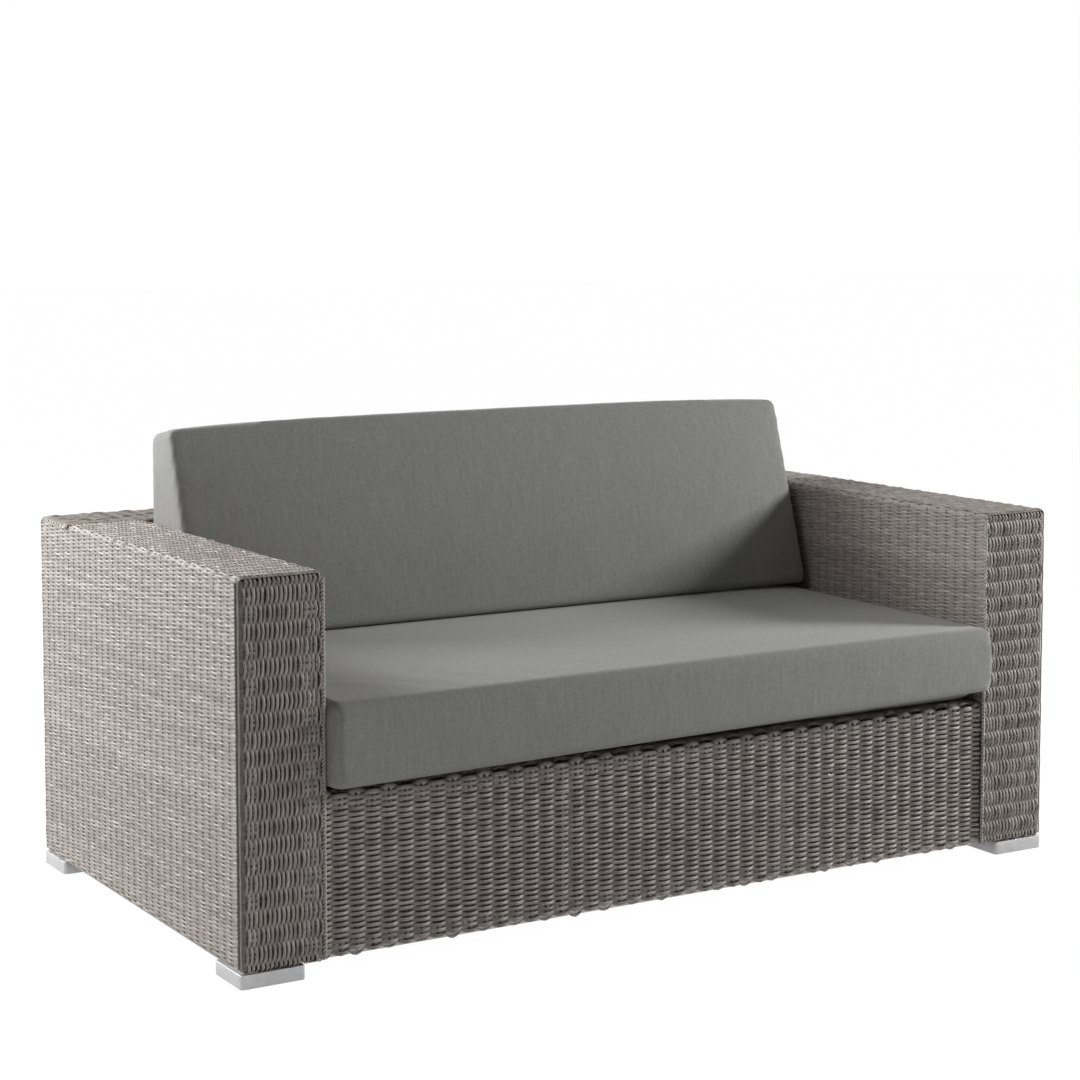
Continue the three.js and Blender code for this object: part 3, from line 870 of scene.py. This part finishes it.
# The apron under the seat is woven with thicker cane, further apart, between the two ropes. It rolls
# back over the seat's front rail, and under the lower front rail.
apron_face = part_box("seat_front_weave")[0].y
apron_top_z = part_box("seat_front_weave")[1].z
apron_gap = 0.0287
apron_relief = 0.0054
apron_depth = 0.0058
apron_pitch = 0.0045
apron_painted_shade = 0.009
apron_fade = 0.003
apron_height = apron_top_z - skin_depth - body_low_z
apron_width = 2 * (inner_face - rope_inset)
panel = flat_weave("seat_front_cane", apron_width, rolled_length(apron_height, bottom_roll, roll_in_plane),
                   gap=apron_gap, pitch=apron_pitch, relief=apron_relief)
stack_first(panel)
roll_over(panel, apron_height, bottom_roll, roll_in_plane)
run_first(panel)
stand(panel, (along_x, along_y, along_z), (-apron_width / 2, apron_face + apron_depth, body_low_z))
# Painted shade darkens the apron's top under the overhanging seat cushion.
paint_shade_above(panel, apron_top_z - apron_painted_shade, apron_fade)
woven(panel, "seat_front_weave")

# The deck is a woven panel over the seat's cross rails, and carries the seat cushion.
# Its stakes and strands stand further apart, as it doesn't show.
deck_gap = 0.038
deck_strand_gap = 0.0062
deck_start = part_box("seat_deck_weave")[0].y
deck_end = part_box("seat_deck_weave")[1].y
panel = flat_weave("seat_deck_cane", back_inner_width, deck_end - deck_start,
                   gap=deck_gap, pitch=deck_strand_gap)
stand(panel, (along_x, -along_z, along_y), (-back_inner_width / 2, deck_start, apron_top_z - skin_depth))
woven(panel, "seat_deck_weave")

# The feet are flat pads of solid aluminium, brushed to a satin finish and broken at the edges.
# Each is held to the side frame by one screw from below.
foot_edge = 0.0009
foot_flat_angle = math.radians(2)
foot_edge_angle = math.radians(50)
foot_crease = math.radians(40)
joined_within = 0.00005
satin_dull = (0.40, 0.40, 0.41)
satin_bright = (0.58, 0.58, 0.58)
satin_scratch_share = 0.5
satin_smoothest = 0.34
satin_roughest = 0.52
brushing_scale = (30, 2600, 2600)


def copied(name, node):
    """A copy of a node's solid with its loose triangles joined."""
    mesh = nodes[node].data.copy()
    mesh.name = name
    piece = bpy.data.objects.new(name, mesh)
    scene.collection.objects.link(piece)
    only(piece)
    bpy.ops.object.mode_set(mode="EDIT")
    bpy.ops.mesh.select_all(action="SELECT")
    bpy.ops.mesh.remove_doubles(threshold=joined_within)
    bpy.ops.object.mode_set(mode="OBJECT")
    return piece


def satin_metal():
    """Brushed along the sofa's width: fine level scratches under a faint cloud."""
    finish, tree, links = new_finish("satin_aluminium")
    shader = tree["Principled BSDF"]
    place = tree.new("ShaderNodeTexCoord").outputs["Object"]
    brushed = stretched(tree, links, place, brushing_scale)
    scratches = noise_at(tree, links, brushed, scale=1.0, detail=3.0, rough=0.6)
    cloud = noise_at(tree, links, place, scale=45, detail=3.0)
    clouded = math_of(tree, links, "MULTIPLY", cloud, 1 - satin_scratch_share)
    both = math_of(tree, links, "MULTIPLY_ADD", scratches, satin_scratch_share, clouded)
    tone = ramp_of(tree, links, both, [(0.3, satin_dull), (0.7, satin_bright)])
    links.new(tone, shader.inputs["Base Color"])
    rough = tree.new("ShaderNodeMapRange")
    rough.inputs["To Min"].default_value = satin_smoothest
    rough.inputs["To Max"].default_value = satin_roughest
    links.new(both, rough.inputs["Value"])
    links.new(rough.outputs[0], shader.inputs["Roughness"])
    links.new(bumped(tree, links, scratches, strength=0.25, distance=0.0002), shader.inputs["Normal"])
    shader.inputs["Metallic"].default_value = 0.45
    return finish


foot_finish = satin_metal()
for end in ("front", "rear"):
    for side in ("left", "right"):
        foot = copied(f"{side}_{end}_foot_pad", f"foot_{end}_{side}")
        flat_faces = foot.modifiers.new("flat_faces", "DECIMATE")
        flat_faces.decimate_type = "DISSOLVE"
        flat_faces.angle_limit = foot_flat_angle
        bpy.ops.object.modifier_apply(modifier="flat_faces")
        edges = foot.modifiers.new("edges", "BEVEL")
        edges.width = foot_edge
        edges.segments = 2
        edges.limit_method = "ANGLE"
        edges.angle_limit = foot_edge_angle
        bpy.ops.object.modifier_apply(modifier="edges")
        foot.data.materials.clear()
        foot.data.materials.append(foot_finish)
        bpy.ops.object.shade_smooth_by_angle(angle=foot_crease)
        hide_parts(f"foot_{end}_{side}")
        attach(foot, "body")

# One screw of zinc plated steel, its head sunk in the foot from below, holds each foot to a rung of
# the side frame. The foot stands on a thin glide of dark nylon, which covers the screw's head.
steel_dull = (0.42, 0.42, 0.43)
steel_bright = (0.60, 0.60, 0.60)
turning_scale = (300, 300, 2000)
nylon_dark = (0.030, 0.030, 0.031)
nylon_scuffed = (0.085, 0.083, 0.080)
scuff_scale = (90, 260, 90)


def screw_steel():
    finish, tree, links = new_finish("zinc_plated_steel")
    shader = tree["Principled BSDF"]
    place = tree.new("ShaderNodeTexCoord").outputs["Object"]
    turned = noise_at(tree, links, stretched(tree, links, place, turning_scale), scale=1.0, detail=2.0)
    tone = ramp_of(tree, links, turned, [(0.3, steel_dull), (0.7, steel_bright)])
    links.new(tone, shader.inputs["Base Color"])
    links.new(bumped(tree, links, turned, strength=0.2, distance=0.0002), shader.inputs["Normal"])
    shader.inputs["Metallic"].default_value = 0.95
    shader.inputs["Roughness"].default_value = 0.38
    return finish


def glide_nylon():
    finish, tree, links = new_finish("dark_nylon")
    shader = tree["Principled BSDF"]
    place = tree.new("ShaderNodeTexCoord").outputs["Object"]
    rubbed = stretched(tree, links, place, scuff_scale)
    scuffs = noise_at(tree, links, rubbed, scale=1.0, detail=4.0, rough=0.65)
    tone = ramp_of(tree, links, scuffs, [(0.35, nylon_dark), (0.75, nylon_scuffed)])
    links.new(tone, shader.inputs["Base Color"])
    grain = noise_at(tree, links, place, scale=1400, detail=2.0)
    links.new(bumped(tree, links, grain, strength=0.3, distance=0.0002), shader.inputs["Normal"])
    shader.inputs["Roughness"].default_value = 0.55
    return finish


small_finishes = {"steel": screw_steel(), "plastic": glide_nylon()}
for row in frame["record"]["subparts"]:
    small_finish = small_finishes.get(row["material_slot"])
    if small_finish:
        nodes[row["node"]].data.materials.clear()
        nodes[row["node"]].data.materials.append(small_finish)

# The seat cushion is a foam block in a sewn cover of grey heather cloth, which wraps over the front
# without piping. Its solid gets round edges and is stuffed as cloth: the seams gather the cloth beside
# them, and the foam lets it go only a small share of the way. Its lower front edge is drawn up.
cushion_cell = 0.0112
under_round = 0.4
least_share = 0.001
sewing_slack = 0.007
seam_reach = 0.022
seam_gather = 0.035
seam_hold = 0.6
cover_ease = -0.010
cover_stiffness = 60
cover_bend = 0.3
stuffing_pressure = 0.3
stuffing_mass = 0.15
stuffing_quality = 5
stuffing_frames = 20
swell_cap = 0.016
least_move = 0.000001
cloth_share = 0.12
heather_dark = (0.150, 0.151, 0.147)
heather_grey = (0.235, 0.235, 0.229)
heather_pale = (0.345, 0.345, 0.335)
warp_scale = (1900, 260, 1)
weft_scale = (260, 1900, 1)
streak_scale = (240, 18, 1)
thread_share = 0.5
mottle_share = 0.2
mottle_shift = -0.20


def heather_cloth():
    """Light and dark threads both ways, faint streaks, a loose mottle, and a soft nap."""
    finish, tree, links = new_finish("grey_heather_cloth")
    shader = tree["Principled BSDF"]
    place = tree.new("ShaderNodeTexCoord").outputs["UV"]
    along_warp = stretched(tree, links, place, warp_scale)
    along_weft = stretched(tree, links, place, weft_scale)
    warp = noise_at(tree, links, along_warp, scale=1.0, detail=2.0, rough=0.7)
    weft = noise_at(tree, links, along_weft, scale=1.0, detail=2.0, rough=0.7)
    threads = math_of(tree, links, "ADD", warp, weft)
    along_streaks = stretched(tree, links, place, streak_scale)
    streaks = noise_at(tree, links, along_streaks, scale=1.0, detail=3.0, rough=0.6)
    clouds = noise_at(tree, links, place, scale=120, detail=4.0, rough=0.6)
    mottle = math_of(tree, links, "ADD", clouds, streaks)
    mottled = math_of(tree, links, "MULTIPLY_ADD", mottle, mottle_share, mottle_shift)
    mixed = math_of(tree, links, "MULTIPLY_ADD", threads, thread_share, mottled)
    tone = ramp_of(tree, links, mixed, [(0.30, heather_dark), (0.5, heather_grey), (0.70, heather_pale)])
    links.new(tone, shader.inputs["Base Color"])
    links.new(bumped(tree, links, threads, strength=0.22, distance=0.0003), shader.inputs["Normal"])
    shader.inputs["Roughness"].default_value = 0.92
    shader.inputs["Specular IOR Level"].default_value = 0.2
    shader.inputs["Sheen Weight"].default_value = 0.25
    shader.inputs["Sheen Roughness"].default_value = 0.5
    return finish


def rounded(piece, low, high, edge_round):
    """Gives a cushion's solid an even net, and rounds its edges, the lower ones less."""
    net = piece.modifiers.new("net", "REMESH")
    net.mode = "VOXEL"
    net.voxel_size = cushion_cell
    bpy.ops.object.modifier_apply(modifier="net")
    places = places_of(piece)
    low_round = edge_round * (1, 1, under_round)
    into_low = np.clip((low + low_round - places) / low_round, 0, 1)
    into_high = np.clip((places - high + edge_round) / edge_round, 0, 1)
    into = np.maximum(into_low, into_high)
    beyond = np.linalg.norm(into, axis=1)
    drawn = np.where(beyond > 1, into.max(axis=1) / np.maximum(beyond, least_share), 1)
    places += (into_low * low_round - into_high * edge_round) * (1 - drawn[:, None])
    reached_low, reached_high = places.min(axis=0), places.max(axis=0)
    place_all(piece, low + (places - reached_low) * (high - low) / (reached_high - reached_low))


def stuffed(piece, low, high):
    """Sews and stuffs a cover, and keeps a share of how far its cloth goes."""
    full = places_of(piece)
    bpy.ops.object.mode_set(mode="EDIT")
    bpy.ops.mesh.select_all(action="SELECT")
    bpy.ops.transform.shrink_fatten(value=-sewing_slack)
    bpy.ops.object.mode_set(mode="OBJECT")
    start = places_of(piece)
    from_faces = np.sort(np.minimum(start - low, high - start), axis=1) - sewing_slack
    from_seam = np.hypot(from_faces[:, 0], from_faces[:, 1])
    seam = piece.vertex_groups.new(name="seam")
    for index in np.flatnonzero(from_seam < seam_reach):
        seam.add([int(index)], 1 - from_seam[index] / seam_reach, "REPLACE")
    cloth = piece.modifiers.new("stuffing", "CLOTH")
    settings = cloth.settings
    settings.quality = stuffing_quality
    settings.mass = stuffing_mass
    settings.tension_stiffness = cover_stiffness
    settings.compression_stiffness = cover_stiffness
    settings.shear_stiffness = cover_stiffness / 2
    settings.bending_stiffness = cover_bend
    settings.use_pressure = True
    settings.uniform_pressure_force = stuffing_pressure
    settings.vertex_group_shrink = "seam"
    settings.shrink_min = cover_ease
    settings.shrink_max = seam_gather
    settings.vertex_group_mass = "seam"
    settings.pin_stiffness = seam_hold
    settings.effector_weights.gravity = 0
    cloth.point_cache.frame_start = 1
    cloth.point_cache.frame_end = stuffing_frames
    for frame_number in range(1, stuffing_frames + 1):
        scene.frame_set(frame_number)
    bpy.ops.object.modifier_apply(modifier="stuffing")
    scene.frame_set(1)
    piece.vertex_groups.clear()
    moved = places_of(piece) - start
    length = np.maximum(np.linalg.norm(moved, axis=1, keepdims=True), least_move)
    swollen = start + moved / length * swell_cap * np.tanh(length / swell_cap)
    place_all(piece, full + (swollen - full) * cloth_share)


def cushion_cover(name, node, edge_round):
    """A cushion's cover before it is fitted."""
    piece = copied(name, node)
    low, high = (np.array(corner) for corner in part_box(node))
    rounded(piece, low, high, edge_round)
    stuffed(piece, low, high)
    return piece


def finished_cover(piece):
    """Smooths the cover, lays the cloth's own coordinates over it in metres, and finishes it."""
    finer = piece.modifiers.new("finer", "SUBSURF")
    finer.levels = 1
    finer.render_levels = 1
    bpy.ops.object.modifier_apply(modifier="finer")
    bpy.ops.object.mode_set(mode="EDIT")
    bpy.ops.mesh.select_all(action="SELECT")
    bpy.ops.uv.cube_project(cube_size=1.0, correct_aspect=False, scale_to_bounds=False)
    bpy.ops.object.mode_set(mode="OBJECT")
    bpy.ops.object.shade_smooth()
    piece.data.materials.clear()
    piece.data.materials.append(heather_finish)


heather_finish = heather_cloth()
seat_low, seat_high = (np.array(corner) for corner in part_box("seat_cushion"))
back_low, back_high = (np.array(corner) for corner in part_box("back_cushion"))
seat_round = np.array([0.010, 0.024, 0.022])
front_lift = (0.003, 0.020)
lift_height = 0.060
lift_start = -0.380
lift_run = 0.030
crown_rise = 0.004
crown_start = 0.10
proud_swell = 0.004
seat = cushion_cover("seat_cushion_cover", "seat_cushion", seat_round)
places = places_of(seat)
open_front = np.clip((back_low[1] - places[:, 1]) / crown_start, 0, 1)
places[:, 2] = np.clip(places[:, 2], seat_low[2], seat_high[2] + crown_rise * open_front)
proud = np.clip((body_front - places[:, 1]) / proud_swell, 0, 1)
places[:, 0] += proud_swell * proud
side_room = seat_high[0] + proud_swell * proud
places[:, 0] = np.clip(places[:, 0], -side_room, side_room)
places[:, 1] = np.minimum(places[:, 1], seat_high[1])
near_low = np.clip((seat_low[2] + lift_height - places[:, 2]) / lift_height, 0, 1)
near_right = np.clip(0.5 + places[:, 0] / seat_high[0] / 2, 0, 1)
overhung = np.clip((lift_start - places[:, 1]) / lift_run, 0, 1)
places[:, 2] += (front_lift[0] + front_lift[1] * near_right) * near_low * overhung
place_all(seat, places)
finished_cover(seat)
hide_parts("seat_cushion")
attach(seat, "seat_cushion")

# The back cushion is one long wedge in the same cloth. It stands on the seat cushion and leans on
# the woven back, and its ends are flat panels between the arms.
back_round = np.array([0.008, 0.010, 0.008])
back = cushion_cover("back_cushion_cover", "back_cushion", back_round)
places = places_of(back)
places[:, 0] = np.clip(places[:, 0], back_low[0], back_high[0])
places[:, 1] = np.minimum(places[:, 1], back_high[1])
places[:, 2] = np.maximum(places[:, 2], back_low[2])
place_all(back, places)
finished_cover(back)
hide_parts("back_cushion")
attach(back, "back_cushion")
